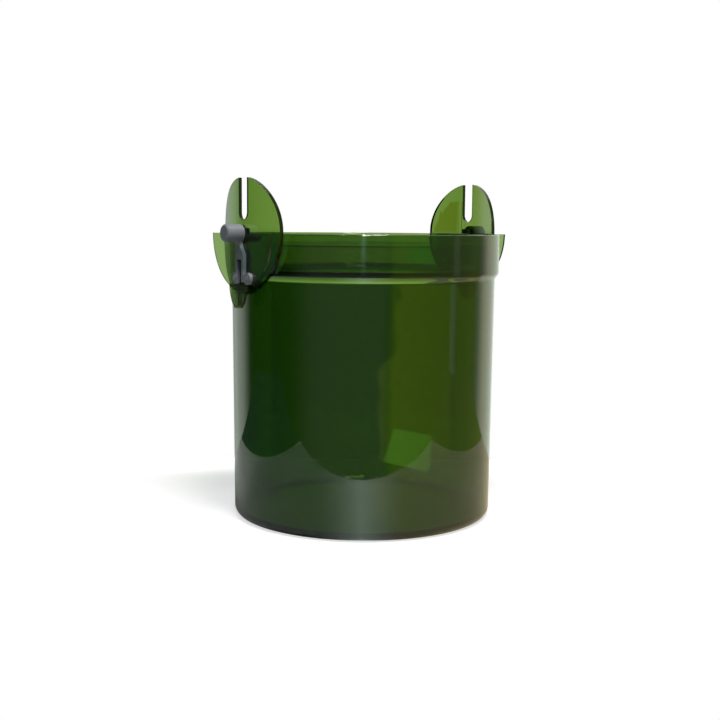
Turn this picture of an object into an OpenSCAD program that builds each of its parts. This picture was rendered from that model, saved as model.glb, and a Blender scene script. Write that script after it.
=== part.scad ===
// Canister filter vessel: an open clear-plastic canister with a collar, two
// slotted ear plates and two rotary half-disc latches that hold the pump head.
// Units are millimetres. The base stands on z = 0, +Z is up, and the two
// latches are on the X axis.

/* [Vessel] */
// Outside diameter of the body just below the shoulder
body_d = 271; // [220:1:320]
// Height from the table to the rim
vessel_h = 291; // [220:1:380]
// Wall thickness of the body and the collar
wall = 4; // [3:0.1:6]
// Thickness of the floor
base_t = 5; // [3:0.1:9]
// How much smaller the radius is at the floor than at the shoulder
body_draft = 2.0; // [0:0.1:3]
// Radius of the outside corner at the floor
base_corner = 9; // [5:0.5:20]

/* [Collar] */
// How far the collar stands outside the body
collar_step = 4; // [3:0.1:8]
// Straight height of the collar, from the rim down
collar_h = 38; // [25:1:60]
// Height of the sloped shoulder under the collar
shoulder_h = 8.5; // [5:0.5:16]
// Depth from the rim to the ledge inside the collar
ledge_deep = 34; // [20:0.5:56]
// Height over which the ledge inside the collar runs in
ledge_h = 5; // [3:0.5:12]
// Depth of the wider mouth inside the rim
mouth_deep = 10.4; // [6:0.2:16]
// Extra radius of the mouth inside the rim
mouth_step = 1; // [0.2:0.1:1.4]
// Rounding of the rim's two edges
rim_round = 1.8; // [0.4:0.1:2.4]

/* [Ear plate] */
// Thickness of the curved plate
ear_t = 3.6; // [2.5:0.1:6]
// Clearance between the plate and the collar that carries it
ear_seat = 0.3; // [0.1:0.05:0.5]
// Radius of the plate's round outline
ear_r = 52.3; // [40:0.1:65]
// How far the outline's centre lies above the rim
ear_lift = 1.5; // [0:0.1:6]
// Height of the outline's lower half, from its centre down
ear_drop = 60.5; // [46:0.5:66]
// Width of the open slot that takes the pump head's arm
slot_w = 15.7; // [10:0.1:20]
// Height of the slot's floor above the rim
slot_floor = 12.6; // [10:0.1:20]
// Height of the block that rests the plate on the rim
foot_h = 4.8; // [3:0.1:7]
// Width of that block
foot_w = 10; // [6:0.5:14]

/* [Latch disc] */
// Radius of the half disc
disc_r = 55.7; // [46:0.1:66]
// Thickness of the half disc
disc_t = 2; // [1.8:0.1:4]
// Running gap between the disc and the ear plate
disc_gap = 0.3; // [0.2:0.05:0.8]
// Width of the finger tab where it leaves the disc
tab_w = 32.4; // [22:0.2:44]
// Radius from the pivot to the end of the finger tab
tab_reach = 72; // [64:0.5:84]
// Width of the tab at its end
tab_end_w = 14.4; // [10:0.2:22]
// Rounding of the tab's two corners
tab_corner = 2; // [1:0.5:4]
// How far the tab's outer face stands outside the disc's
tab_lift = 3.6; // [2:0.1:5]
// Thickness of the tab's plate
tab_t = 2.2; // [1.6:0.1:4]
// Width of the rib behind the tab
rib_w = 2.4; // [1.6:0.1:4]

/* [Latch grip] */
// Diameter of the hub
hub_d = 17; // [14:0.5:22]
// How far the hub stands out from the disc's face
hub_len = 18.4; // [12:0.1:26]
// Chamfer on the hub's end
hub_chamfer = 1.2; // [0.4:0.1:2.5]
// Width of the stem under the hub
stem_w = 9; // [7:0.5:14]
// Thickness of the stem and its fork
stem_t = 3.6; // [2:0.1:5]
// How far below the pivot the slit of the fork begins
fork_drop = 25; // [20:0.5:36]
// Width of each of the fork's two prongs
prong_w = 3.5; // [2.5:0.1:4]
// Width of the slit between them
slit_w = 8; // [4:0.5:10]
// Diameter of the round pads at the prongs' ends
pad_d = 11.6; // [9:0.2:14]
// How far the pads' middle lies to one side of the pivot
pad_shift = 6.5; // [0:0.5:8]

/* [Rivets] */
// Diameter of the rivet heads
rivet_d = 6.2; // [4.5:0.1:8]
// Distance between the two rivets
rivet_spread = 21.6; // [19:0.2:26]
// How far the rivets lie below the pivot
rivet_drop = 43.2; // [38:0.2:48]
// Height of the rivet head over the fork
rivet_h = 0.8; // [0.4:0.1:2]
// Diameter of the rivet shank
shank_d = 3.6; // [3:0.1:4]

/* [Pivot] */
// Diameter of the pivot pin
pin_d = 8; // [5:0.1:10]
// Radial running clearance of the latch on its pin
pin_clear = 0.05; // [0.02:0.01:0.1]
// How much the pin's snap head is wider than the pin
snap_step = 1.4; // [0.6:0.1:2]
// Length of the snap head
snap_len = 2.6; // [1.5:0.1:4]

/* [Hidden] */
$fn = 96;

// Interference of the pressed pins and shanks
press = 0.02;
eps = 0.01;
green = [0.10, 0.26, 0.03, 0.55];
green2 = [0.22, 0.42, 0.08, 0.6];
grey = [0.32, 0.34, 0.36];

body_r = body_d / 2;
foot_r = body_r - body_draft;
collar_r = body_r + collar_step;
shoulder_top = vessel_h - collar_h;
shoulder_low = shoulder_top - shoulder_h;
ear_ri = collar_r + ear_seat;
ear_ro = ear_ri + ear_t;
axis_z = vessel_h;
disc_x0 = ear_ro + disc_gap;
disc_x1 = disc_x0 + disc_t;
grip_x0 = disc_x1;
grip_x1 = disc_x1 + stem_t;
hub_x1 = disc_x1 + hub_len;
pin_x0 = collar_r;
chamber_x1 = hub_x1 - 3;
pin_x1 = chamber_x1 - 0.4;
chamber_x0 = pin_x1 - snap_len - 0.3;
rivet_x1 = grip_x1 + rivet_h;
rim_r = min(rim_round, (wall - mouth_step) / 2 - 0.1);
bore_r = collar_r - wall;
mouth_r = bore_r + mouth_step;
// The tab steps outwards just under the fork's round ends
tab_top = rivet_drop + pad_d / 2 + 0.8;
slit_y0 = prong_w - stem_w / 2;
rivet_ya = pad_shift - rivet_spread / 2;
rivet_yb = pad_shift + rivet_spread / 2;
tab_x1 = disc_x1 + tab_lift;

// Points of a round corner: centre c, radius r, from angle a0 to a1
function arc_pts(c, r, a0, a1, n) =
    [for (i = [0:n]) let (a = a0 + (a1 - a0) * i / n) [c[0] + r * cos(a), c[1] + r * sin(a)]];
// Points of the S-shaped shoulder between two radii and two heights
function s_pts(ra, za, rb, zb, n) =
    [for (i = [0:n]) let (t = i / n) [rb + (ra - rb) * (0.5 + 0.5 * cos(180 * t)), za + (zb - za) * t]];

// Wall section of the vessel, as radius and height
module shell_section() {
    ci = base_corner - wall + 1.5;
    polygon(concat(
        [[0, 0]],
        arc_pts([foot_r - base_corner, base_corner], base_corner, -90, 0, 10),
        s_pts(body_r, shoulder_low, collar_r, shoulder_top, 10),
        arc_pts([collar_r - rim_r, vessel_h - rim_r], rim_r, 0, 90, 6),
        arc_pts([mouth_r + rim_r, vessel_h - rim_r], rim_r, 90, 180, 6),
        s_pts(mouth_r, vessel_h - mouth_deep, bore_r, vessel_h - mouth_deep - 1.2, 6),
        s_pts(bore_r, vessel_h - ledge_deep, body_r - wall, vessel_h - ledge_deep - ledge_h, 10),
        arc_pts([foot_r - wall - ci, base_t + ci], ci, 0, -90, 8),
        [[0, base_t]]));
}

// The vessel moulding
module shell() {
    color(green) rotate_extrude($fn = 144) shell_section();
}

// Stands a flat outline up, facing +X, from x = x0 to x = x1
module facing(x0, x1) {
    translate([x0, 0, axis_z]) rotate([90, 0, 90]) linear_extrude(height = x1 - x0) children();
}

// A round bar along X at height axis_z + dz
module bar_x(x0, x1, d, y = 0, dz = 0) {
    translate([x0, y, axis_z + dz]) rotate([0, 90, 0]) cylinder(d = d, h = x1 - x0);
}

// Outline of the ear plate: round above, slightly longer below, slotted
module ear_outline() {
    difference() {
        translate([0, ear_lift]) union() {
            intersection() {
                circle(r = ear_r);
                translate([-ear_r, 0]) square([2 * ear_r, ear_r + 1]);
            }
            intersection() {
                scale([1, ear_drop / ear_r]) circle(r = ear_r);
                translate([-ear_r, -ear_drop - 1]) square([2 * ear_r, ear_drop + 1 + eps]);
            }
        }
        translate([0, slot_floor + slot_w / 2]) circle(d = slot_w, $fn = 48);
        translate([-slot_w / 2, slot_floor + slot_w / 2]) square([slot_w, ear_r]);
    }
}

// Curved plate with a small block that rests on the rim
module ear() {
    difference() {
        union() {
            intersection() {
                translate([0, 0, axis_z + ear_lift - ear_drop - 2])
                    rotate_extrude($fn = 144) translate([ear_ri, 0]) square([ear_t, ear_drop + ear_r + 4]);
                facing(ear_ro * 0.8, ear_ro + 2) ear_outline();
            }
            intersection() {
                translate([0, 0, axis_z + ear_seat]) rotate_extrude($fn = 144)
                    translate([mouth_r + 0.2, 0]) square([wall - mouth_step + ear_seat + 0.4, foot_h]);
                translate([0, -foot_w / 2, axis_z]) cube([ear_ro, foot_w, foot_h + 1]);
            }
        }
        bar_x(ear_ri - 0.3, ear_ro + 2, pin_d);
    }
}

// Pin with a snap head on its outer end
module pivot_pin() {
    union() {
        bar_x(pin_x0, pin_x1 - snap_len + eps, pin_d);
        bar_x(pin_x0, ear_ro - 0.6, pin_d + 2 * press);
        bar_x(pin_x1 - snap_len, pin_x1 - snap_len / 2, pin_d + snap_step);
        translate([pin_x1 - snap_len / 2 - eps, 0, axis_z]) rotate([0, 90, 0])
            cylinder(d1 = pin_d + snap_step, d2 = pin_d - 1, h = snap_len / 2 + eps);
    }
}

module half_disc_outline() {
    intersection() {
        circle(r = disc_r, $fn = 144);
        translate([-disc_r - 1, -disc_r - 1]) square([2 * disc_r + 2, disc_r + 1]);
    }
    circle(d = hub_d - 0.6);
}

// Outline of the tab, from z = -top down
module tab_outline(top) {
    half = concat(
        [[tab_w / 2, 1 - top]],
        [for (i = [0:10]) let (t = i / 12)
            [tab_w / 2 - (tab_w - tab_end_w) / 2 * t * t, -top - (tab_reach - top) * t]],
        arc_pts([tab_end_w / 2 - tab_corner, tab_corner - tab_reach], tab_corner, 0, -90, 6));
    polygon(concat(half, [for (i = [len(half) - 1:-1:0]) [-half[i][0], half[i][1]]]));
}

// Flat half disc whose finger tab steps outwards, with a rib behind the tab
module latch_disc() {
    difference() {
        union() {
            facing(disc_x0, disc_x1) half_disc_outline();
            facing(disc_x0, tab_x1) intersection() {
                tab_outline(tab_top);
                translate([-tab_w, -tab_top - 1.6]) square([2 * tab_w, 1.6]);
            }
            facing(tab_x1 - tab_t, tab_x1) tab_outline(tab_top);
            facing(disc_x0, tab_x1 - eps)
                translate([-rib_w / 2, -tab_reach + 2]) square([rib_w, tab_reach - tab_top - 3]);
        }
        bar_x(disc_x0 - 1, disc_x1 + 1, pin_d + 2 * pin_clear);
        bar_x(disc_x0 - 1, disc_x1 + 1, shank_d, rivet_ya, -rivet_drop);
        bar_x(disc_x0 - 1, disc_x1 + 1, shank_d, rivet_yb, -rivet_drop);
    }
}

// Stem under the hub, with two prongs that end in round pads
module fork_outline() {
    difference() {
        union() {
            translate([-stem_w / 2, -rivet_drop]) square([stem_w, rivet_drop - 3]);
            polygon([[0, -12], [stem_w / 2, -12], [slit_y0 + slit_w + prong_w, -fork_drop + 5],
                [slit_y0 + slit_w + prong_w, -rivet_drop], [0, -rivet_drop]]);
            translate([rivet_ya, -rivet_drop]) circle(d = pad_d, $fn = 48);
            translate([rivet_yb, -rivet_drop]) circle(d = pad_d, $fn = 48);
            translate([slit_y0 + slit_w, -rivet_drop - 3.5]) square([rivet_yb - slit_y0 - slit_w, 7]);
        }
        translate([slit_y0, -rivet_drop - pad_d]) square([slit_w, rivet_drop + pad_d - fork_drop - 1.5]);
        translate([slit_y0 + 1.5, -fork_drop - 3]) square([slit_w - 3, 3]);
        for (y = [slit_y0 + 1.5, slit_y0 + slit_w - 1.5]) translate([y, -fork_drop - 1.5]) circle(r = 1.5, $fn = 24);
    }
}

// Hub, stem and fork in one moulding, with a blind bore that takes the pin
module latch_grip() {
    difference() {
        union() {
            bar_x(grip_x0, hub_x1 - hub_chamfer, hub_d);
            translate([hub_x1 - hub_chamfer - eps, 0, axis_z]) rotate([0, 90, 0])
                cylinder(d1 = hub_d, d2 = hub_d - 2 * hub_chamfer, h = hub_chamfer + eps);
            facing(grip_x0, grip_x1) fork_outline();
        }
        bar_x(grip_x0 - 1, chamber_x0 + eps, pin_d + 2 * pin_clear);
        bar_x(chamber_x0, chamber_x1, pin_d + snap_step + 0.3);
        bar_x(grip_x0 - 1, grip_x1 + 1, shank_d, rivet_ya, -rivet_drop);
        bar_x(grip_x0 - 1, grip_x1 + 1, shank_d, rivet_yb, -rivet_drop);
    }
}

// Rivet with a low domed head, y to the side of the pivot
module rivet(y) {
    union() {
        bar_x(disc_x0 + 0.05, grip_x1 + eps, shank_d + 2 * press, y, -rivet_drop);
        translate([grip_x1, y, axis_z - rivet_drop]) rotate([0, 90, 0])
            rotate_extrude($fn = 48) polygon(concat(
                [[0, 0]],
                [for (i = [0:6]) let (a = 90 * i / 6)
                    [rivet_d / 2 - rivet_h * 0.7 * (1 - cos(a)), rivet_h * 0.3 * min(1, i) + rivet_h * 0.7 * sin(a)]],
                [[0, rivet_h]]));
    }
}

// Turns a right-hand piece into the left-hand one
module other_side() { rotate([0, 0, 180]) children(); }

module ear_right() { color(green2) ear(); }
module ear_left() { color(green2) other_side() ear(); }
module pivot_pin_right() { color(grey) pivot_pin(); }
module pivot_pin_left() { color(grey) other_side() pivot_pin(); }
module latch_disc_right() { color(green2) latch_disc(); }
module latch_disc_left() { color(green2) other_side() latch_disc(); }
module latch_grip_right() { color(grey) latch_grip(); }
module latch_grip_left() { color(grey) other_side() latch_grip(); }
module rivet_right_a() { color(grey) rivet(rivet_ya); }
module rivet_right_b() { color(grey) rivet(rivet_yb); }
module rivet_left_a() { color(grey) other_side() rivet(rivet_ya); }
module rivet_left_b() { color(grey) other_side() rivet(rivet_yb); }

shell();
ear_left();
ear_right();
pivot_pin_left();
pivot_pin_right();
latch_disc_left();
latch_disc_right();
latch_grip_left();
latch_grip_right();
rivet_left_a();
rivet_left_b();
rivet_right_a();
rivet_right_b();
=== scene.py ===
"""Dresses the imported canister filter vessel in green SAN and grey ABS, and sets up its studio."""

import logging
import math
from abc import ABC, abstractmethod
from dataclasses import dataclass, field
from enum import Enum

import bmesh
import bpy
from mathutils import Matrix, Vector

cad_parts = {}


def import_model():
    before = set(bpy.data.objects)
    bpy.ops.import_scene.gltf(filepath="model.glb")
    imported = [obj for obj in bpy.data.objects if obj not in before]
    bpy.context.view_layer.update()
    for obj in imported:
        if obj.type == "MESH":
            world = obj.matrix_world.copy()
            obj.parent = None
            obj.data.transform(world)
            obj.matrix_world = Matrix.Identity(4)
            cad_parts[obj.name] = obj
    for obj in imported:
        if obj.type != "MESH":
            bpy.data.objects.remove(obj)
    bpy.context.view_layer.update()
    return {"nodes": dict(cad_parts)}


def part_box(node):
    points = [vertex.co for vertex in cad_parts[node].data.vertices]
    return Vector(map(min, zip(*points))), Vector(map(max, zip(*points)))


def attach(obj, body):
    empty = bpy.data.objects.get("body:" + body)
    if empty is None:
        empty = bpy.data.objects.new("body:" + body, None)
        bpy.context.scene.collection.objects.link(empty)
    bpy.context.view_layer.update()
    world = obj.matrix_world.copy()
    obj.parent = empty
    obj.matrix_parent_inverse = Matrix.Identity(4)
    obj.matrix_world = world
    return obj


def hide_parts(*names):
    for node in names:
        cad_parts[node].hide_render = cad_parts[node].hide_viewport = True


log = logging.getLogger("canister")

MM = 0.001
# Points closer than this many metres become one.
WELD = 2e-6

Material = bpy.types.Material
Object = bpy.types.Object
Socket = bpy.types.NodeSocket
Colour = tuple[float, float, float]
Span = tuple[float, float]
Point = tuple[float, float]
# A number or a colour, as a socket or fixed.
Level = Socket | float
Tint = Socket | Colour

WHITE: Colour = (1.0, 1.0, 1.0)
BLACK: Colour = (0.0, 0.0, 0.0)
FALLING: Span = (1.0, 0.0)


class Side(Enum):
    """The two lugs of the vessel, by the sign of their X."""

    LEFT = -1
    RIGHT = 1

    @property
    def word(self) -> str:
        """The side's name as the CAD nodes spell it."""
        return self.name.lower()


def linear(code: str) -> Colour:
    """Turns an sRGB hex colour into linear light.

    Args:
        code: six hex digits.

    Returns:
        Red, green and blue as linear numbers.
    """
    out = []
    for i in (0, 2, 4):
        c = int(code[i : i + 2], 16) / 255
        out.append(c / 12.92 if c <= 0.04045 else ((c + 0.055) / 1.055) ** 2.4)
    return (out[0], out[1], out[2])


@dataclass(frozen=True)
class Graph:
    """A node tree, with short ways to add the nodes that the trees of this script are made of."""

    tree: bpy.types.NodeTree

    def add(self, kind: str, values: dict | None = None) -> bpy.types.Node:
        """Adds one node.

        Args:
            kind: the node's type name.
            values: attribute names, or input names or numbers, with their values. A socket is linked, and a
                colour gets an alpha of 1.

        Returns:
            The new node.
        """
        node = self.tree.nodes.new(kind)
        for key, value in (values or {}).items():
            if isinstance(key, str) and hasattr(node, key):
                setattr(node, key, value)
            elif isinstance(value, Socket):
                self.tree.links.new(value, node.inputs[key])
            elif node.inputs[key].type == "RGBA":
                node.inputs[key].default_value = (*value, 1.0)
            else:
                node.inputs[key].default_value = value
        return node

    def math(self, operation: str, *values: Level) -> Socket:
        """Joins sockets or numbers by one arithmetic operation."""
        return self.add("ShaderNodeMath", {"operation": operation, **dict(enumerate(values))}).outputs[0]

    def ramp(self, source: Socket, span: Span, levels: Span = (0.0, 1.0), smooth: bool = True) -> Socket:
        """Goes from one level to another while a socket's value crosses a span.

        Args:
            source: the socket read.
            span: where the change starts and where it ends, in rising order.
            levels: the level before the span and the one after it.
            smooth: whether the change eases in and out, or is straight.

        Returns:
            The level's socket.
        """
        values = {
            "interpolation_type": "SMOOTHSTEP" if smooth else "LINEAR",
            "From Min": span[0],
            "From Max": span[1],
            "To Min": levels[0],
            "To Max": levels[1],
            0: source,
        }
        return self.add("ShaderNodeMapRange", values).outputs[0]

    def window(self, source: Socket, rises: Span, falls: Span, smooth: bool = True) -> Socket:
        """Gives 1 between a span where it rises and a span where it falls, and 0 elsewhere."""
        rise = self.ramp(source, rises, smooth=smooth)
        return self.math("MULTIPLY", rise, self.ramp(source, falls, FALLING, smooth))

    def mix(self, factor: Socket, first: Tint, second: Tint, blend: str = "MIX") -> Socket:
        """Lays a second colour over a first by a factor."""
        values = {"data_type": "RGBA", "blend_type": blend, 0: factor, 6: first, 7: second}
        return self.add("ShaderNodeMix", values).outputs[2]

    def noise(self, vector: Socket, scale: float, detail: float, roughness: float = 0.5) -> Socket:
        """Gives a cloudy level about 0.5. Its scale is in clouds per unit of length."""
        values = {"Scale": scale, "Detail": detail, "Roughness": roughness, "Vector": vector}
        return self.add("ShaderNodeTexNoise", values).outputs["Fac"]

    def place(self, space: str = "Object") -> Socket:
        """Gives the coordinates of what is shaded, in a space given by its name."""
        return self.add("ShaderNodeTexCoord").outputs[space]

    def turned(self, vector: Socket, turn: float, kind: str = "POINT") -> Socket:
        """Turns a place or a direction about Z by an angle in radians."""
        values = {"vector_type": kind, "Rotation": (0, 0, turn), "Vector": vector}
        return self.add("ShaderNodeMapping", values).outputs[0]

    def axes(self, vector: Socket) -> tuple[Socket, Socket, Socket]:
        """Splits a vector into its X, Y and Z."""
        outputs = self.add("ShaderNodeSeparateXYZ", {0: vector}).outputs
        return outputs[0], outputs[1], outputs[2]

    def vector(self, x: Level = 0.0, y: Level = 0.0, z: Level = 0.0) -> Socket:
        """Joins X, Y and Z into a vector."""
        return self.add("ShaderNodeCombineXYZ", {0: x, 1: y, 2: z}).outputs[0]

    def bump(self, height: Socket, strength: float, distance: float) -> Socket:
        """Roughens a normal by a level. The distance is the height in metres of a level of 1."""
        values = {"Strength": strength, "Distance": distance, "Height": height}
        return self.add("ShaderNodeBump", values).outputs["Normal"]

    def rays(self) -> bpy.types.NodeOutputs:
        """Gives the sockets that tell which kind of ray is traced, by name."""
        return self.add("ShaderNodeLightPath").outputs


class Finish(ABC):
    """A procedural material. Each kind says how its surface and, if it is clear, its inside look."""

    name: str

    @abstractmethod
    def surface(self, graph: Graph) -> Socket:
        """Adds the surface's shader.

        Args:
            graph: the material's nodes.

        Returns:
            The shader's socket.
        """

    def inside(self, graph: Graph) -> Socket | None:
        """Adds the shader of what lies under the surface. An opaque material has none."""
        return None

    def make(self) -> Material:
        """Builds the material.

        Returns:
            The new material.
        """
        mat = bpy.data.materials.new(self.name)
        mat.use_nodes = True
        mat.node_tree.nodes.clear()
        graph = Graph(mat.node_tree)
        shaders = {"Surface": self.surface(graph), "Volume": self.inside(graph)}
        graph.add("ShaderNodeOutputMaterial", {slot: shader for slot, shader in shaders.items() if shader})
        return mat


@dataclass(frozen=True)
class ClearSan(Finish):
    """Clear tinted SAN, injection moulded and polished.

    It has a hard gloss, a colour that deepens with the length of the light's way through it, and reflections
    that wobble slightly where the melt flowed.
    """

    name: str = "clear_green_san"
    ior: float = 1.57
    roughness: float = 0.012
    # What a sample of the plastic lets through, and the sample's thickness in metres.
    sample_through: Colour = (0.1065, 0.2187, 0.0334)
    sample: float = 0.004
    density: float = 900.0
    shadow_tint: str = "BFD6A4"
    # The waves of the flow: their length in mm, and their height in metres.
    flow_mm: float = 70.0
    flow_height: float = 0.002
    flow_strength: float = 0.05

    def surface(self, graph: Graph) -> Socket:
        """Adds the gloss, and a tinted way through for the light that casts shadows.

        Args:
            graph: the material's nodes.

        Returns:
            The shader's socket.
        """
        flow = graph.noise(graph.place(), 1 / (self.flow_mm * MM), detail=1.0, roughness=0.4)
        normal = graph.bump(flow, self.flow_strength, self.flow_height)
        values = {"Base Color": WHITE, "Roughness": self.roughness, "IOR": self.ior, "Normal": normal}
        gloss = graph.add("ShaderNodeBsdfPrincipled", {"Transmission Weight": 1.0, **values})
        lamp_way = graph.add("ShaderNodeBsdfTransparent", {"Color": linear(self.shadow_tint)})
        values = {0: graph.rays()["Is Shadow Ray"], 1: gloss.outputs[0], 2: lamp_way.outputs[0]}
        return graph.add("ShaderNodeMixShader", values).outputs[0]

    def inside(self, graph: Graph) -> Socket:
        """Adds the absorption by Beer's law, split into a density and a colour."""
        keep = tuple(1 + math.log(through) / self.sample / self.density for through in self.sample_through)
        return graph.add("ShaderNodeVolumeAbsorption", {"Color": keep, "Density": self.density}).outputs[0]


@dataclass(frozen=True)
class GreyAbs(Finish):
    """Grey ABS, injection moulded with a fine spark-eroded grain: a soft satin, slightly uneven in tone."""

    name: str = "grey_abs"
    colour: str = "82838A"
    shade: str = "73747B"
    roughness: float = 0.42
    ior: float = 1.54
    # Sizes of the grain and of the clouds in its tone, in mm, and the grain's height in metres.
    grain_mm: float = 0.5
    cloud_mm: float = 9.0
    grain_height: float = 0.00005
    grain_strength: float = 0.25
    # Painted shade on the stem, tinted green as a painted reflection of the disc: its colour, and the heights
    # in metres where it starts and ends.
    painted_stem_shade: str = "AFC8C4"
    painted_stem_shade_starts: Span = (0.252, 0.258)
    painted_stem_shade_ends: Span = (0.277, 0.283)

    def surface(self, graph: Graph) -> Socket:
        """Adds the satin plastic.

        Args:
            graph: the material's nodes.

        Returns:
            The shader's socket.
        """
        place = graph.place()
        tone = graph.noise(place, 1 / (self.cloud_mm * MM), detail=3.0)
        colour = graph.mix(tone, linear(self.colour), linear(self.shade))
        # Painted shade on the stem below the hub: darker and greener between these heights, standing in for
        # its shade and the green disc's reflection.
        height = graph.axes(place)[2]
        painted_stem_shade = graph.window(height, self.painted_stem_shade_starts, self.painted_stem_shade_ends, smooth=False)
        colour = graph.mix(painted_stem_shade, colour, linear(self.painted_stem_shade), "MULTIPLY")
        grain = graph.noise(place, 1 / (self.grain_mm * MM), detail=2.0, roughness=0.6)
        values = {
            "Roughness": self.roughness,
            "IOR": self.ior,
            "Base Color": colour,
            "Normal": graph.bump(grain, self.grain_strength, self.grain_height),
        }
        return graph.add("ShaderNodeBsdfPrincipled", values).outputs[0]


@dataclass(frozen=True)
class PaleBoard(Finish):
    """Matt white laminated board: an even pale ground that keeps the object's soft shadow.

    The gloss of the vessel also shows a lamp's glare along it, in front, a warmer light on its right and a
    pale veil at its far left. All spans are in metres from the vessel's axis, to the viewer's right or away.
    """

    turn: float
    name: str = "pale_board"
    colour: str = "BEBEBC"
    roughness: float = 0.4
    # Light added for the eye, straight or through the clear walls.
    lift: float = 0.6
    # More of it towards the far and side edges, so that none of them shows. Sideways counts by a share.
    edge_span: Span = (0.15, 0.25)
    edge_lift: float = 0.45
    sideways: float = 0.5
    # Bounced light that softens the near side of the shadow.
    bounce_span: Span = (0.05, 0.13)
    bounce_lift: float = 0.08
    # The glare opens like a fan, from a point in front of the vessel's axis.
    glare: Colour = (1.3, 1.52, 1.45)
    glare_point: float = 0.07
    glare_spread: float = 0.85
    glare_falloff: float = 2.0
    glare_ends: Span = (-0.14, -0.09)
    warmth: Colour = (0.38, 0.28, 0.06)
    warmth_span: Span = (0.0, 0.07)
    veil: Colour = (0.175, 0.185, 0.17)
    veil_left: Span = (-0.19, -0.132)
    veil_back: Span = (-0.03, 0.05)

    def lifted(self, graph: Graph, rays: bpy.types.NodeOutputs, right: Socket, away: Socket) -> Socket:
        """Adds the strength of the light that the eye sees on the board.

        Args:
            graph: the material's nodes.
            rays: which kind of ray is traced.
            right: the place to the viewer's right.
            away: the place away from the viewer.

        Returns:
            The strength's socket.
        """
        seen = graph.math("MAXIMUM", rays["Is Camera Ray"], rays["Is Transmission Ray"])
        lift = graph.math("MULTIPLY", seen, self.lift)
        sideways = graph.math("MULTIPLY", graph.math("ABSOLUTE", right), self.sideways)
        edge = graph.ramp(graph.math("MAXIMUM", away, sideways), self.edge_span, (0.0, self.edge_lift))
        bounce = graph.ramp(away, self.bounce_span, (self.bounce_lift, 0.0))
        return graph.math("MULTIPLY_ADD", rays["Is Camera Ray"], graph.math("ADD", edge, bounce), lift)

    def mirrored(self, graph: Graph, right: Socket, away: Socket) -> Socket:
        """Adds the colour of the light that gloss shows on the board.

        Args:
            graph: the material's nodes.
            right: the place to the viewer's right.
            away: the place away from the viewer.

        Returns:
            The colour's socket.
        """
        fan = graph.math("DIVIDE", right, graph.math("ADD", away, self.glare_point))
        fan = graph.ramp(graph.math("ABSOLUTE", fan), (0.0, self.glare_spread), FALLING, smooth=False)
        fan = graph.math("POWER", fan, self.glare_falloff)
        fan = graph.math("MULTIPLY", fan, graph.ramp(away, self.glare_ends, FALLING))
        corner = graph.ramp(right, self.veil_left, FALLING)
        corner = graph.math("MULTIPLY", corner, graph.ramp(away, self.veil_back))
        veil = graph.mix(corner, BLACK, self.veil)
        warm = graph.mix(graph.ramp(right, self.warmth_span), veil, self.warmth)
        return graph.mix(fan, warm, self.glare, "ADD")

    def surface(self, graph: Graph) -> Socket:
        """Adds the matt board, its light for the eye and its light for the gloss.

        Args:
            graph: the material's nodes.

        Returns:
            The shader's socket.
        """
        rays = graph.rays()
        right, away, _ = graph.axes(graph.turned(graph.place(), self.turn))
        matt = graph.add("ShaderNodeBsdfDiffuse", {"Color": linear(self.colour), "Roughness": self.roughness})
        strength = self.lifted(graph, rays, right, away)
        glow = graph.add("ShaderNodeEmission", {"Color": WHITE, "Strength": strength})
        colour = self.mirrored(graph, right, away)
        glint = graph.add("ShaderNodeEmission", {"Color": colour, "Strength": rays["Is Glossy Ray"]})
        both = graph.add("ShaderNodeAddShader", {0: matt.outputs[0], 1: glow.outputs[0]})
        return graph.add("ShaderNodeAddShader", {0: both.outputs[0], 1: glint.outputs[0]}).outputs[0]


class OneRaySheet(Finish):
    """A glowing sheet that one kind of ray shows, while all others pass it."""

    ray: str

    @abstractmethod
    def light(self, graph: Graph) -> Tint:
        """Gives the colour of its light."""

    def surface(self, graph: Graph) -> Socket:
        """Adds the glow for the one kind of ray.

        Args:
            graph: the material's nodes.

        Returns:
            The shader's socket.
        """
        clear = graph.add("ShaderNodeBsdfTransparent", {"Color": WHITE})
        glow = graph.add("ShaderNodeEmission", {"Color": self.light(graph), "Strength": 1.0})
        values = {0: graph.rays()[self.ray], 1: clear.outputs[0], 2: glow.outputs[0]}
        return graph.add("ShaderNodeMixShader", values).outputs[0]


@dataclass(frozen=True)
class DimTable(OneRaySheet):
    """The unlit table round the board: only the gloss shows it, dim at the left and olive at the right."""

    turn: float
    name: str = "dim_table"
    ray: str = "Is Glossy Ray"
    left: Colour = (0.045, 0.06, 0.07)
    right: Colour = (0.36, 0.46, 0.10)
    # Where one gives way to the other, in metres to the viewer's right.
    between: Span = (0.02, 0.2)

    def light(self, graph: Graph) -> Socket:
        """Gives the table's colour from left to right."""
        right, _, _ = graph.axes(graph.turned(graph.place(), self.turn))
        return graph.mix(graph.ramp(right, self.between, smooth=False), self.left, self.right)


@dataclass(frozen=True)
class LitCard(OneRaySheet):
    """A sunlit sheet of card on the table beyond the vessel, seen only through the clear walls."""

    name: str = "lit_card"
    ray: str = "Is Transmission Ray"
    glow: Colour = (3.4, 2.5, 7.0)

    def light(self, graph: Graph) -> Colour:
        """Gives the card's even colour."""
        return self.glow


def mesh_object(name: str, mesh: bpy.types.Mesh) -> Object:
    """Links a mesh into the scene as an object at the origin.

    Args:
        name: the object's name.
        mesh: its mesh.

    Returns:
        The new object.
    """
    obj = bpy.data.objects.new(name, mesh)
    bpy.context.scene.collection.objects.link(obj)
    return obj


def dress(obj: Object, mat: Material) -> None:
    """Gives an object one material in the place of all it had."""
    obj.data.materials.clear()
    obj.data.materials.append(mat)


def even_shading(obj: Object) -> None:
    """Lets the large faces set the shading, so that flats stay flat between rounded edges.

    Args:
        obj: the object that gets the modifier.
    """
    weigh = obj.modifiers.new("even_shading", "WEIGHTED_NORMAL")
    weigh.mode = "FACE_AREA"
    weigh.weight = 100
    weigh.thresh = 0.001
    weigh.keep_sharp = True


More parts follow.
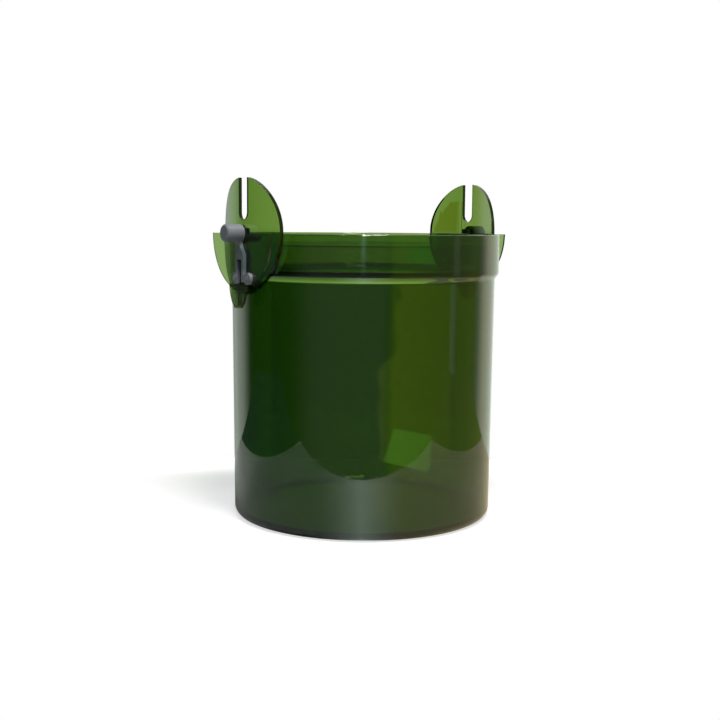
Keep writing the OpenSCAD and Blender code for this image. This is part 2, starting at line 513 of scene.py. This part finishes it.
def baked(obj: Object) -> Object:
    """Turns an object's modifiers into its mesh.

    Args:
        obj: the object whose modifiers are applied.

    Returns:
        The same object with a plain mesh and no modifiers.
    """
    bpy.context.view_layer.update()
    evaluated = obj.evaluated_get(bpy.context.evaluated_depsgraph_get())
    mesh = bpy.data.meshes.new_from_object(evaluated)
    old = obj.data
    obj.modifiers.clear()
    obj.data = mesh
    bpy.data.meshes.remove(old)
    return obj


@dataclass(frozen=True)
class EdgeRounding:
    """Breaks the sharp edges of a CAD node's copy, as a mould's radii do. Angles in degrees."""

    width_mm: float
    segments: int = 2
    sharp_above: float = 38.0
    flat_below: float = 0.4

    def copy(self, source: Object, name: str) -> Object:
        """Copies a CAD node with its edges rounded.

        Args:
            source: the CAD node's object.
            name: the new piece's name.

        Returns:
            The new piece.
        """
        bm = bmesh.new()
        bm.from_mesh(source.data)
        bmesh.ops.remove_doubles(bm, verts=bm.verts, dist=WELD)
        flat = math.radians(self.flat_below)
        bmesh.ops.dissolve_limit(bm, angle_limit=flat, verts=bm.verts, edges=bm.edges)
        mesh = bpy.data.meshes.new(name)
        bm.to_mesh(mesh)
        bm.free()
        for poly in mesh.polygons:
            poly.use_smooth = True
        obj = mesh_object(name, mesh)
        bevel = obj.modifiers.new("edge_radius", "BEVEL")
        bevel.width = self.width_mm * MM
        bevel.segments = self.segments
        bevel.limit_method = "ANGLE"
        bevel.angle_limit = math.radians(self.sharp_above)
        even_shading(obj)
        return baked(obj)


@dataclass(frozen=True)
class Recipe:
    """A Geometry Nodes tree with named inputs, which turns one object's mesh into another."""

    graph: Graph
    given: bpy.types.NodeOutputs

    @classmethod
    def begin(cls, name: str, inputs: dict[str, str]) -> "Recipe":
        """Makes the tree and its inputs.

        Args:
            name: the tree's name.
            inputs: each input's name and kind of value.

        Returns:
            The recipe, still without steps.
        """
        tree = bpy.data.node_groups.new(name, "GeometryNodeTree")
        for label, kind in {"Geometry": "Geometry", **inputs, "Material": "Material"}.items():
            tree.interface.new_socket(name=label, in_out="INPUT", socket_type=f"NodeSocket{kind}")
        tree.interface.new_socket(name="Geometry", in_out="OUTPUT", socket_type="NodeSocketGeometry")
        graph = Graph(tree)
        return cls(graph, graph.add("NodeGroupInput").outputs)

    def joined(self, *parts: Socket) -> Socket:
        """Joins geometries.

        Args:
            parts: the geometries' sockets.

        Returns:
            The socket of the whole.
        """
        node = self.graph.add("GeometryNodeJoinGeometry")
        for part in parts:
            self.graph.tree.links.new(part, node.inputs[0])
        return node.outputs[0]

    def moved(self, geometry: Socket, **how: Socket | tuple) -> Socket:
        """Moves, turns or scales a geometry, by its translation, rotation or scale."""
        values = {"Geometry": geometry, **{key.capitalize(): value for key, value in how.items()}}
        return self.graph.add("GeometryNodeTransform", values).outputs[0]

    def welded(self, geometry: Socket, distance: float) -> Socket:
        """Makes one point of those that lie within a distance of each other."""
        values = {"Distance": distance, "Geometry": geometry}
        return self.graph.add("GeometryNodeMergeByDistance", values).outputs[0]

    def end(self, geometry: Socket) -> None:
        """Shades the result smooth, gives it its material and sends it out.

        Args:
            geometry: the result's socket.
        """
        smooth = self.graph.add("GeometryNodeSetShadeSmooth", {0: geometry})
        values = {"Geometry": smooth.outputs[0], "Material": self.given["Material"]}
        dressed = self.graph.add("GeometryNodeSetMaterial", values)
        self.graph.add("NodeGroupOutput", {0: dressed.outputs[0]})

    def cook(self, obj: Object, values: dict) -> Object:
        """Runs the tree on an object and keeps the result as its mesh.

        Args:
            obj: the object that the tree starts from.
            values: each input's name and value.

        Returns:
            The same object with a plain mesh.
        """
        tree = self.graph.tree
        modifier = obj.modifiers.new(tree.name, "NODES")
        modifier.node_group = tree
        keys = {item.name: item.identifier for item in tree.interface.items_tree if item.in_out == "INPUT"}
        for label, value in values.items():
            modifier[keys[label]] = value
        even_shading(obj)
        return baked(obj)


@dataclass(frozen=True)
class Vessel:
    """The vessel moulding, turned from its wall section. Sizes in mm.

    It has a drafted body, an S-shaped shoulder, a wider collar with a slightly wider mouth, and a ledge
    inside that carries the filter head.
    """

    clear: Material
    height: float = 291.0
    body: float = 135.5
    draft: float = 2.0
    wall: float = 4.0
    base: float = 5.0
    foot_corner: float = 9.0
    floor_corner: float = 6.5
    collar_step: float = 4.0
    collar_deep: float = 38.0
    shoulder_deep: float = 8.5
    mouth_step: float = 1.0
    mouth_deep: float = 10.4
    mouth_fall: float = 1.2
    ledge_deep: float = 34.0
    ledge_fall: float = 5.0
    rim: float = 1.4
    # Facets round the axis, and along each curve of the section.
    turns: int = 240
    foot_steps: int = 14
    shoulder_steps: int = 20
    rim_steps: int = 8
    mouth_steps: int = 10
    ledge_steps: int = 16
    floor_steps: int = 10

    @staticmethod
    def corner(centre: Point, radius: float, angles: Span, steps: int) -> list[Point]:
        """Gives the points of a round corner.

        Args:
            centre: the arc's centre.
            radius: its radius.
            angles: where it starts and where it ends, in degrees.
            steps: its number of facets.

        Returns:
            The points in order.
        """
        start, end = angles
        turns = [math.radians(start + (end - start) * i / steps) for i in range(steps + 1)]
        return [(centre[0] + radius * math.cos(a), centre[1] + radius * math.sin(a)) for a in turns]

    @staticmethod
    def swan(first: Point, last: Point, steps: int) -> list[Point]:
        """Gives the points of an S-shaped step.

        Args:
            first: where it starts on the section.
            last: where it ends.
            steps: its number of facets.

        Returns:
            The points in order.
        """
        out = []
        for i in range(steps + 1):
            share = 0.5 + 0.5 * math.cos(math.pi * i / steps)
            out.append((last[0] + (first[0] - last[0]) * share, first[1] + (last[1] - first[1]) * i / steps))
        return out

    def section(self) -> list[Point]:
        """Draws the wall's section, from the floor's middle up the outside and down the inside.

        Returns:
            Its points, as radius and height.
        """
        foot = self.body - self.draft
        collar = self.body + self.collar_step
        bore = collar - self.wall
        mouth = bore + self.mouth_step
        shoulder = self.height - self.collar_deep
        edge = self.height - self.rim
        mouth_end = self.height - self.mouth_deep
        ledge = self.height - self.ledge_deep
        corner, floor = self.foot_corner, self.floor_corner
        return [
            (0.0, 0.0),
            *self.corner((foot - corner, corner), corner, (-90, 0), self.foot_steps),
            *self.swan((self.body, shoulder - self.shoulder_deep), (collar, shoulder), self.shoulder_steps),
            *self.corner((collar - self.rim, edge), self.rim, (0, 90), self.rim_steps),
            *self.corner((mouth + self.rim, edge), self.rim, (90, 180), self.rim_steps),
            *self.swan((mouth, mouth_end), (bore, mouth_end - self.mouth_fall), self.mouth_steps),
            *self.swan((bore, ledge), (self.body - self.wall, ledge - self.ledge_fall), self.ledge_steps),
            *self.corner((foot - self.wall - floor, self.base + floor), floor, (0, -90), self.floor_steps),
            (0.0, self.base),
        ]

    def lathe(self) -> Recipe:
        """Makes the recipe that turns a section's row of points into a closed body of revolution.

        Returns:
            The recipe.
        """
        recipe = Recipe.begin("lathe", {"Turns": "Int"})
        graph, given = recipe.graph, recipe.given
        section = given["Geometry"]
        sizes = graph.add("GeometryNodeAttributeDomainSize", {"component": "MESH", "Geometry": section})
        count = sizes.outputs["Point Count"]
        columns = graph.math("ADD", given["Turns"], 1.0)
        grid = graph.add("GeometryNodeMeshGrid", {"Vertices X": columns, "Vertices Y": count})
        # A grid's points run column by column. Half a point more keeps the division clear of its rounding.
        index = graph.add("GeometryNodeInputIndex").outputs[0]
        column = graph.math("FLOOR", graph.math("DIVIDE", graph.math("ADD", index, 0.5), count))
        row = graph.math("SUBTRACT", index, graph.math("MULTIPLY", column, count))
        place = graph.add("GeometryNodeInputPosition").outputs[0]
        values = {"data_type": "FLOAT_VECTOR", "Geometry": section, "Value": place, "Index": row}
        point = graph.add("GeometryNodeSampleIndex", values)
        angle = graph.math("MULTIPLY", graph.math("DIVIDE", column, given["Turns"]), math.tau)
        values = {"rotation_type": "Z_AXIS", "Vector": point.outputs[0], "Angle": angle}
        turned = graph.add("ShaderNodeVectorRotate", values)
        values = {"Geometry": grid.outputs["Mesh"], "Position": turned.outputs[0]}
        wall = graph.add("GeometryNodeSetPosition", values)
        recipe.end(recipe.welded(wall.outputs[0], WELD))
        return recipe

    def build(self) -> None:
        """Turns the vessel and puts it in the place of the CAD shell."""
        points = [(r * MM, 0.0, z * MM) for r, z in self.section()]
        mesh = bpy.data.meshes.new("vessel_wall")
        mesh.from_pydata(points, [(i, i + 1) for i in range(len(points) - 1)], [])
        obj = mesh_object("vessel_wall", mesh)
        self.lathe().cook(obj, {"Turns": self.turns, "Material": self.clear})
        log.info("vessel_wall: %d faces for shell", len(obj.data.polygons))
        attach(obj, "vessel")
        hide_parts("shell")


@dataclass(frozen=True)
class RivetPair:
    """Two domed rivets that hold a grip's fork on its half disc. Sizes in mm; their places are the CAD's."""

    side: Side
    grey: Material
    head: float = 6.2
    dome: float = 0.8
    shank: float = 3.6
    # Facets round the head and the shank, and the head's rings from pole to pole.
    head_sides: int = 40
    head_rings: int = 20
    shank_sides: int = 32

    def head_form(self, recipe: Recipe) -> Socket:
        """Adds a domed head of radius 1 on the XY plane, closed underneath.

        Args:
            recipe: the recipe that gets it.

        Returns:
            The head's socket.
        """
        graph = recipe.graph
        just_under, seam = -1e-3, 1e-4
        values = {"Segments": self.head_sides, "Rings": self.head_rings, "Radius": 1.0}
        ball = graph.add("GeometryNodeMeshUVSphere", values)
        height = graph.axes(graph.add("GeometryNodeInputPosition").outputs[0])[2]
        under = graph.math("LESS_THAN", height, just_under)
        values = {"domain": "POINT", "Geometry": ball.outputs["Mesh"], "Selection": under}
        cap = graph.add("GeometryNodeDeleteGeometry", values)
        values = {"fill_type": "NGON", "Vertices": self.head_sides, "Radius": 1.0}
        seat = graph.add("GeometryNodeMeshCircle", values)
        seat = graph.add("GeometryNodeFlipFaces", {0: seat.outputs["Mesh"]})
        return recipe.welded(recipe.joined(cap.outputs[0], seat.outputs[0]), seam)

    def row(self) -> Recipe:
        """Makes the recipe that sets a row of rivets along Y, heads to +X, and turns it about Z.

        Returns:
            The recipe.
        """
        sizes = ("Spacing", "Head Radius", "Dome Height", "Shank Radius", "Shank Length", "Turn")
        inputs = {"Count": "Int", "Seat": "Vector", **dict.fromkeys(sizes, "Float")}
        recipe = Recipe.begin("rivet_row", inputs)
        graph, given = recipe.graph, recipe.given
        size = graph.vector(given["Head Radius"], given["Head Radius"], given["Dome Height"])
        head = recipe.moved(self.head_form(recipe), scale=size)
        length = given["Shank Length"]
        values = {"Vertices": self.shank_sides, "Radius": given["Shank Radius"], "Depth": length}
        bar = graph.add("GeometryNodeMeshCylinder", values)
        sunk = graph.vector(z=graph.math("MULTIPLY", length, -0.5))
        bar = recipe.moved(bar.outputs["Mesh"], translation=sunk)
        rivet = recipe.moved(recipe.joined(head, bar), rotation=(0, math.pi / 2, 0))
        step = graph.vector(y=given["Spacing"])
        values = {"mode": "OFFSET", "Count": given["Count"], "Start Location": given["Seat"], "Offset": step}
        places = graph.add("GeometryNodeMeshLine", values)
        values = {"Points": places.outputs[0], "Instance": rivet}
        rivets = graph.add("GeometryNodeInstanceOnPoints", values)
        real = graph.add("GeometryNodeRealizeInstances", {0: rivets.outputs[0]})
        recipe.end(recipe.moved(real.outputs[0], rotation=graph.vector(z=given["Turn"])))
        return recipe

    def build(self) -> None:
        """Sets the two rivets in the places of the CAD's."""
        nodes = (f"rivet_{self.side.word}_a", f"rivet_{self.side.word}_b")
        sign = float(self.side.value)
        (low_a, high_a), (low_b, high_b) = (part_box(n) for n in nodes)
        inner, outer = sorted((sign * low_a.x, sign * high_a.x))
        first = sign * (low_a.y + high_a.y) / 2
        second = sign * (low_b.y + high_b.y) / 2
        name = f"rivets_{self.side.word}"
        obj = self.row().cook(
            mesh_object(name, bpy.data.meshes.new(name)),
            {
                "Count": len(nodes),
                "Seat": (outer - self.dome * MM, first, (low_a.z + high_a.z) / 2),
                "Spacing": second - first,
                "Head Radius": self.head * MM / 2,
                "Dome Height": self.dome * MM,
                "Shank Radius": self.shank * MM / 2,
                "Shank Length": outer - self.dome * MM - inner,
                "Turn": 0.0 if sign > 0 else math.pi,
                "Material": self.grey,
            },
        )
        log.info("%s: %d faces for %s", name, len(obj.data.polygons), " and ".join(nodes))
        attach(obj, f"latch_{self.side.word}")
        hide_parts(*nodes)


@dataclass(frozen=True)
class Lug:
    """One ear plate with its pivot pin and its rotary latch. Edge roundings in mm."""

    side: Side
    nodes: dict[str, Object]
    clear: Material
    grey: Material
    plate_edge: float = 0.45
    grip_edge: float = 0.5

    def piece(self, node: str, name: str, width: float, mat: Material, body: str) -> None:
        """Replaces a CAD node with a copy whose edges are rounded.

        Args:
            node: the CAD node.
            name: the new piece.
            width: edge rounding in mm.
            mat: its material.
            body: the CAD body that it rides on.
        """
        obj = EdgeRounding(width).copy(self.nodes[node], name)
        dress(obj, mat)
        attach(obj, body)
        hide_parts(node)
        log.info("%s: %d faces for %s", name, len(obj.data.polygons), node)

    def build(self) -> None:
        """Builds the lug's pieces."""
        w = self.side.word
        latch = f"latch_{w}"
        self.piece(f"ear_{w}", f"ear_plate_{w}", self.plate_edge, self.clear, "vessel")
        self.piece(f"latch_disc_{w}", f"half_disc_{w}", self.plate_edge, self.clear, latch)
        self.piece(f"latch_grip_{w}", f"grip_{w}", self.grip_edge, self.grey, latch)
        dress(self.nodes[f"pivot_pin_{w}"], self.grey)
        log.info("pivot_pin_%s: the CAD's own, in grey", w)
        RivetPair(self.side, self.grey).build()


class Bearing:
    """Spans of bearing from straight ahead of the viewer, in radians, positive to the right."""

    # What the gloss shows.
    WALL_STARTS = (-1.2, -0.84)
    WALL_DIMS = (-0.53, -0.39)
    WALL_BRIGHTENS = (-0.12, 0.25)
    WALL_ENDS = (0.85, 1.27)
    WALL_WARMS = (0.2, 1.0)
    WALL_COOLS = (2.60, 2.82)
    OLIVE_STARTS = (1.0, 1.3)
    PANE_STARTS = (1.60, 1.66)
    PANE_ENDS = (1.72, 1.78)
    OLIVE_ENDS = (2.66, 2.84)
    VIEWER_STARTS = (2.70, 2.86)
    VIEWER_ENDS = (-2.5, -1.95)
    GAP = (3.085, 3.14)
    # What the clear walls show.
    AHEAD_STARTS = (-1.1, -0.9)
    BACKDROP_STARTS = (-0.3, -0.2)
    VESSEL_STARTS = (-0.113, -0.109)
    COLLAR_BRIGHTENS = (-0.05, -0.01)
    BACKDROP_WARMS = (0.0145, 0.0215)
    COLLAR_GREENS = (0.04, 0.055)
    PATCH_ENDS = (0.0890, 0.0920)
    EAR_BRIGHTENS = (0.094, 0.102)
    BACKDROP_COOLS = (0.100, 0.112)
    VESSEL_ENDS = (0.112, 0.116)
    BACKDROP_ENDS = (0.2, 0.3)
    AHEAD_ENDS = (0.9, 1.1)
    # The light on matt surfaces.
    FILL_WARMS = (-0.5, 0.5)


class Rise:
    """Spans of rise over the level, as the upright part of a direction of length 1."""

    LOW_LEDGE = (-0.128, -0.108)
    HIGH_LEDGE = (-0.067, -0.061)
    GAP = (-0.06, -0.002)
    LOW_ROOM = (-0.054, -0.044)
    OLIVE_DEEPENS = (-0.048, -0.036)
    COLLAR_FOOT = (-0.044, -0.034)
    COLLAR_TOP = (-0.024, -0.018)
    RIM = (-0.008, -0.004)
    HIGH_ROOM_STARTS = (0.08, 0.16)
    HIGH_ROOM_ENDS = (0.4, 0.5)
    CEILING = (0.55, 0.7)


class Light:
    """The surround's colours of light, as linear red, green and blue."""

    WALL = (0.95, 1.05, 0.92)
    WARM_WALL = (1.1, 1.14, 0.8)
    OLIVE_ROOM = (0.30, 0.50, 0.15)
    DEEP_OLIVE_ROOM = (0.34, 0.46, 0.08)
    DIM_ROOM = (0.035, 0.055, 0.02)
    VIEWER = (0.21, 0.22, 0.18)
    PANE = (0.5, 0.66, 0.34)
    GAP = (0.7, 1.05, 1.05)
    BACKDROP = (0.64, 0.72, 0.6)
    WARM_BACKDROP = (2.1, 1.2, 1.0)
    COLLAR_LEFT = (1.6, 1.1, 0.8)
    COLLAR_MIDDLE = (1.95, 1.3, 0.9)
    COLLAR_RIGHT = (1.2, 1.6, 1.2)
    UNDER_RIM = (1.0, 1.0, 0.9)
    ABOVE_RIM = (1.3, 1.18, 1.2)
    OCHRE_PATCH = (1.0, 0.82, 0.36)
    RIGHT_EAR = (1.75, 1.35, 1.6)
    LOW_ROOM = (0.45, 1.0, 0.7)
    HIGH_ROOM = (2.0, 1.7, 1.2)
    CEILING = (0.10, 0.16, 0.12)
    FILL_LEFT = (0.11, 0.14, 0.16)
    FILL_RIGHT = (0.40, 0.40, 0.37)


@dataclass
class Room:
    """The surround as the vessel sees it, written by each direction's bearing and rise."""

    turn: float
    # The backdrop's edge between dim and warm: how fine and far it wanders, and its steps at two rises.
    wander_scale: float = 42.0
    wander_detail: float = 3.0
    wander: float = 0.022
    low_ledge: float = -0.014
    high_ledge: float = -0.007
    # The wall ahead, from left to right: its first level, what is taken off it, and what is added.
    wall_first: float = 0.8
    wall_taken: float = 0.28
    wall_added: float = 0.48
    # The oval patch of ochre through the right ear: its centre and half size, by bearing and by rise.
    patch_centre: Point = (0.0905, -0.0134)
    patch_size: Point = (0.0236, 0.0326)
    patch_edge: Span = (0.94, 1.10)
    graph: Graph = field(init=False)
    bearing: Socket = field(init=False)
    rise: Socket = field(init=False)
    edge: Socket = field(init=False)

    def __post_init__(self) -> None:
        """Makes the world and the sockets of bearing, rise and bearing from the backdrop's edge."""
        world = bpy.data.worlds.new("surround")
        bpy.context.scene.world = world
        world.use_nodes = True
        world.node_tree.nodes.clear()
        graph = self.graph = Graph(world.node_tree)
        direction = graph.turned(graph.place("Generated"), self.turn, "VECTOR")
        right, away, self.rise = graph.axes(direction)
        self.bearing = graph.math("ARCTAN2", right, away)
        rough = graph.noise(direction, self.wander_scale, self.wander_detail)
        wander = graph.math("MULTIPLY_ADD", rough, self.wander, -self.wander / 2)
        low = graph.ramp(self.rise, Rise.LOW_LEDGE, (0.0, self.low_ledge))
        high = graph.ramp(self.rise, Rise.HIGH_LEDGE, (0.0, self.high_ledge))
        stepped = graph.math("ADD", self.bearing, graph.math("ADD", low, high))
        self.edge = graph.math("ADD", stepped, wander)

    def wall_level(self) -> Socket:
        """Tells how much of the pale wall beyond the vessel shows.

        Returns:
            The level's socket.
        """
        graph, bearing = self.graph, self.bearing
        first = graph.ramp(bearing, Bearing.WALL_STARTS, (0.0, self.wall_first))
        taken = graph.ramp(bearing, Bearing.WALL_DIMS, (0.0, self.wall_taken))
        added = graph.ramp(bearing, Bearing.WALL_BRIGHTENS, (0.0, self.wall_added))
        level = graph.math("ADD", graph.math("SUBTRACT", first, taken), added)
        return graph.math("MULTIPLY", level, graph.ramp(bearing, Bearing.WALL_ENDS, FALLING))

    def mirrored(self) -> Socket:
        """Gives what the gloss shows.

        It is a pale wall beyond the vessel, a dim room to the left of the viewer and a warm olive one to the
        right, the viewer's own paler shape, one narrow window and a thin bright gap behind the viewer.

        Returns:
            The colour's socket.
        """
        graph, bearing, rise = self.graph, self.bearing, self.rise
        warm = graph.window(bearing, Bearing.WALL_WARMS, Bearing.WALL_COOLS)
        wall = graph.mix(warm, Light.WALL, Light.WARM_WALL)
        olive = graph.ramp(rise, Rise.OLIVE_DEEPENS, FALLING)
        olive = graph.mix(olive, Light.OLIVE_ROOM, Light.DEEP_OLIVE_ROOM)
        right = graph.window(bearing, Bearing.OLIVE_STARTS, Bearing.OLIVE_ENDS)
        room = graph.mix(right, Light.DIM_ROOM, olive)
        viewer = graph.ramp(bearing, Bearing.VIEWER_STARTS)
        viewer = graph.math("MAXIMUM", viewer, graph.ramp(bearing, Bearing.VIEWER_ENDS, FALLING))
        room = graph.mix(viewer, room, Light.VIEWER)
        room = graph.mix(graph.window(bearing, Bearing.PANE_STARTS, Bearing.PANE_ENDS), room, Light.PANE)
        behind = graph.ramp(graph.math("ABSOLUTE", bearing), Bearing.GAP)
        room = graph.mix(graph.math("MULTIPLY", behind, graph.ramp(rise, Rise.GAP)), room, Light.GAP)
        return graph.mix(self.wall_level(), room, wall)

    def patch(self) -> Socket:
        """Tells where the oval ochre patch lies.

        Returns:
            The level's socket.
        """
        graph = self.graph
        squares = []
        for source, centre, size in zip((self.bearing, self.rise), self.patch_centre, self.patch_size):
            offset = graph.math("DIVIDE", graph.math("SUBTRACT", source, centre), size)
            squares.append(graph.math("MULTIPLY", offset, offset))
        oval = graph.ramp(graph.math("ADD", *squares), self.patch_edge, FALLING)
        return graph.math("MULTIPLY", oval, graph.ramp(self.bearing, Bearing.PATCH_ENDS, FALLING))

    def seen_through(self, mirrored: Socket) -> Socket:
        """Gives what the clear walls show.

        White lies round the vessel, and a backdrop behind it: dim at the left, warm and bright at the right.

        Args:
            mirrored: what the gloss shows.

        Returns:
            The colour's socket.
        """
        graph, bearing, rise = self.graph, self.bearing, self.rise
        warm = graph.ramp(self.edge, Bearing.BACKDROP_WARMS)
        warm = graph.math("MULTIPLY", warm, graph.ramp(bearing, Bearing.BACKDROP_COOLS, FALLING))
        backdrop = graph.mix(warm, Light.BACKDROP, Light.WARM_BACKDROP)
        collar = graph.ramp(bearing, Bearing.COLLAR_BRIGHTENS)
        collar = graph.mix(collar, Light.COLLAR_LEFT, Light.COLLAR_MIDDLE)
        collar = graph.mix(graph.ramp(bearing, Bearing.COLLAR_GREENS), collar, Light.COLLAR_RIGHT)
        collar = graph.mix(graph.ramp(rise, Rise.COLLAR_TOP, FALLING), Light.UNDER_RIM, collar)
        vessel = graph.mix(graph.ramp(rise, Rise.COLLAR_FOOT, FALLING), collar, backdrop)
        vessel = graph.mix(graph.window(bearing, Bearing.VESSEL_STARTS, Bearing.VESSEL_ENDS), WHITE, vessel)
        above = graph.mix(self.patch(), Light.ABOVE_RIM, Light.OCHRE_PATCH)
        above = graph.mix(graph.ramp(bearing, Bearing.EAR_BRIGHTENS), above, Light.RIGHT_EAR)
        seen = graph.mix(graph.ramp(rise, Rise.RIM, FALLING), above, vessel)
        seen = graph.mix(graph.window(bearing, Bearing.BACKDROP_STARTS, Bearing.BACKDROP_ENDS), WHITE, seen)
        # Past a mirror first, the same walls show the room instead.
        room = graph.mix(graph.ramp(rise, Rise.LOW_ROOM, FALLING), Light.LOW_ROOM, mirrored)
        seen = graph.mix(graph.window(bearing, Bearing.AHEAD_STARTS, Bearing.AHEAD_ENDS), room, seen)
        high = graph.window(rise, Rise.HIGH_ROOM_STARTS, Rise.HIGH_ROOM_ENDS)
        seen = graph.mix(high, seen, Light.HIGH_ROOM)
        return graph.mix(graph.ramp(rise, Rise.CEILING), seen, Light.CEILING)

    def build(self) -> None:
        """Joins the parts by kind of ray and feeds them to the world."""
        graph, rays = self.graph, self.graph.rays()
        mirrored = self.mirrored()
        fill = graph.mix(graph.ramp(self.bearing, Bearing.FILL_WARMS), Light.FILL_LEFT, Light.FILL_RIGHT)
        colour = graph.mix(rays["Is Glossy Ray"], fill, mirrored)
        colour = graph.mix(rays["Is Transmission Ray"], colour, self.seen_through(mirrored))
        colour = graph.mix(rays["Is Camera Ray"], colour, WHITE)
        back = graph.add("ShaderNodeBackground", {"Strength": 1.0, "Color": colour})
        graph.add("ShaderNodeOutputWorld", {"Surface": back.outputs[0]})
        log.info("surround: %d nodes", len(graph.tree.nodes))


@dataclass(frozen=True)
class Sheet:
    """A flat staged sheet. Its corners are to the right and away, in body radii; its height is in metres."""

    name: str
    corners: tuple[Point, ...]
    height: float


@dataclass(frozen=True)
class Lamp:
    """A soft lamp that is aimed at the vessel's middle.

    Its place is to the viewer's right, away and up, and its size is its width and its length away, in metres.
    Unless it is matt, it lights gloss alone.
    """

    name: str
    place: tuple[float, float, float]
    size: Point
    watts: float
    matt: bool


@dataclass(frozen=True)
class Viewer:
    """The camera. Angles in degrees; distance and height over the rim in body radii."""

    focal_mm: float = 58.38
    sensor_mm: float = 36.0
    nearest: float = 0.05
    pitch: float = 6.6435
    roll: float = 0.4598
    swing: float = -0.135
    distance: float = 8.993
    over_rim: float = 0.0717

    def axes(self, turn: float) -> Matrix:
        """Gives the camera's turn as a matrix.

        Args:
            turn: the viewer's bearing from the frame's Y towards its X, in degrees.

        Returns:
            The matrix whose columns are the camera's right, its up and its back.
        """
        pitch, roll, heading = (math.radians(a) for a in (self.pitch, self.roll, turn + self.swing))
        level = math.cos(pitch)
        ahead = Vector((math.sin(heading) * level, math.cos(heading) * level, -math.sin(pitch)))
        right = ahead.cross(Vector((0, 0, 1))).normalized()
        up = right.cross(ahead)
        across = right * math.cos(roll) + up * math.sin(roll)
        upward = up * math.cos(roll) - right * math.sin(roll)
        return Matrix((across, upward, -ahead)).transposed()


@dataclass(frozen=True)
class Studio:
    """The staged sheets, the lamps, the surround and the camera. The unit is the body's radius in metres."""

    unit: float = 0.135
    rim: float = 0.291
    camera_turn: float = 35.59
    aim: tuple[float, float, float] = (0.0, 0.0, 0.17)
    board: Sheet = Sheet(
        "board", ((-3.36, -2.9), (1.6, -2.88), (3.72, -2.5), (3.5, 2.0), (-3.25, 2.0)), -0.0005
    )
    table: Sheet = Sheet("table", ((-9.0, -2.9), (9.0, -2.9), (9.0, 2.0), (-9.0, 2.0)), -0.0008)
    card: Sheet = Sheet("card", ((0.21, 1.86), (0.64, 1.45), (0.80, 3.25), (0.37, 3.72)), -0.0003)
    lamps: tuple[Lamp, ...] = (
        Lamp("key", (0.17, -0.70, 1.65), (0.4, 0.4), 22.0, True),
        Lamp("strip_ahead", (0.0, -0.75, 1.65), (0.035, 0.7), 30.0, False),
        Lamp("strip_left", (-0.30, -0.75, 1.65), (0.035, 0.6), 22.0, False),
    )
    viewer: Viewer = Viewer()

    def placed(self, right: float, away: float) -> Point:
        """Turns a place to the viewer's right and away into the frame's X and Y."""
        a = math.radians(-self.camera_turn)
        return right * math.cos(a) - away * math.sin(a), right * math.sin(a) + away * math.cos(a)

    def lay(self, sheet: Sheet, mat: Material) -> None:
        """Lays one flat sheet.

        Args:
            sheet: its name, corners and height.
            mat: its material.
        """
        corners = [(*self.placed(x * self.unit, y * self.unit), sheet.height) for x, y in sheet.corners]
        mesh = bpy.data.meshes.new(sheet.name)
        mesh.from_pydata(corners, [], [tuple(range(len(corners)))])
        obj = mesh_object(sheet.name, mesh)
        dress(obj, mat)
        log.info("%s: staged", sheet.name)

    def hang(self, lamp: Lamp) -> None:
        """Hangs one lamp.

        Args:
            lamp: its name, place, size and power.
        """
        light = bpy.data.lights.new(lamp.name, "AREA")
        light.energy = lamp.watts
        light.shape = "RECTANGLE"
        light.size, light.size_y = lamp.size
        obj = bpy.data.objects.new(lamp.name, light)
        right, away, up = lamp.place
        obj.location = (*self.placed(right, away), up)
        obj.visible_diffuse = lamp.matt
        obj.rotation_euler = (Vector(self.aim) - obj.location).to_track_quat("-Z", "Y").to_euler()
        bpy.context.scene.collection.objects.link(obj)
        log.info("%s: %.0f W", lamp.name, lamp.watts)

    def camera(self) -> None:
        """Places the camera at the viewer's distance, a little above the rim."""
        viewer = self.viewer
        lens = bpy.data.cameras.new("viewer")
        lens.sensor_width = viewer.sensor_mm
        lens.lens = viewer.focal_mm
        lens.clip_start = viewer.nearest
        obj = bpy.data.objects.new("viewer", lens)
        x, y = self.placed(0, -viewer.distance * self.unit)
        place = Vector((x, y, self.rim + viewer.over_rim * self.unit))
        obj.matrix_world = Matrix.Translation(place) @ viewer.axes(self.camera_turn).to_4x4()
        bpy.context.scene.collection.objects.link(obj)
        bpy.context.scene.camera = obj

    def build(self) -> None:
        """Builds the studio."""
        turn = math.radians(self.camera_turn)
        self.lay(self.board, PaleBoard(turn).make())
        self.lay(self.table, DimTable(turn).make())
        self.lay(self.card, LitCard().make())
        for lamp in self.lamps:
            self.hang(lamp)
        Room(turn).build()
        self.camera()
        bpy.context.scene.view_settings.view_transform = "Standard"


def main() -> None:
    """Dresses the vessel piece by piece and lights it."""
    logging.basicConfig(level=logging.INFO, format="%(name)s: %(message)s")
    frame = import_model()
    clear = ClearSan().make()
    grey = GreyAbs().make()
    Vessel(clear).build()
    for side in Side:
        Lug(side, frame["nodes"], clear, grey).build()
    Studio().build()


if __name__ == "__main__":
    main()
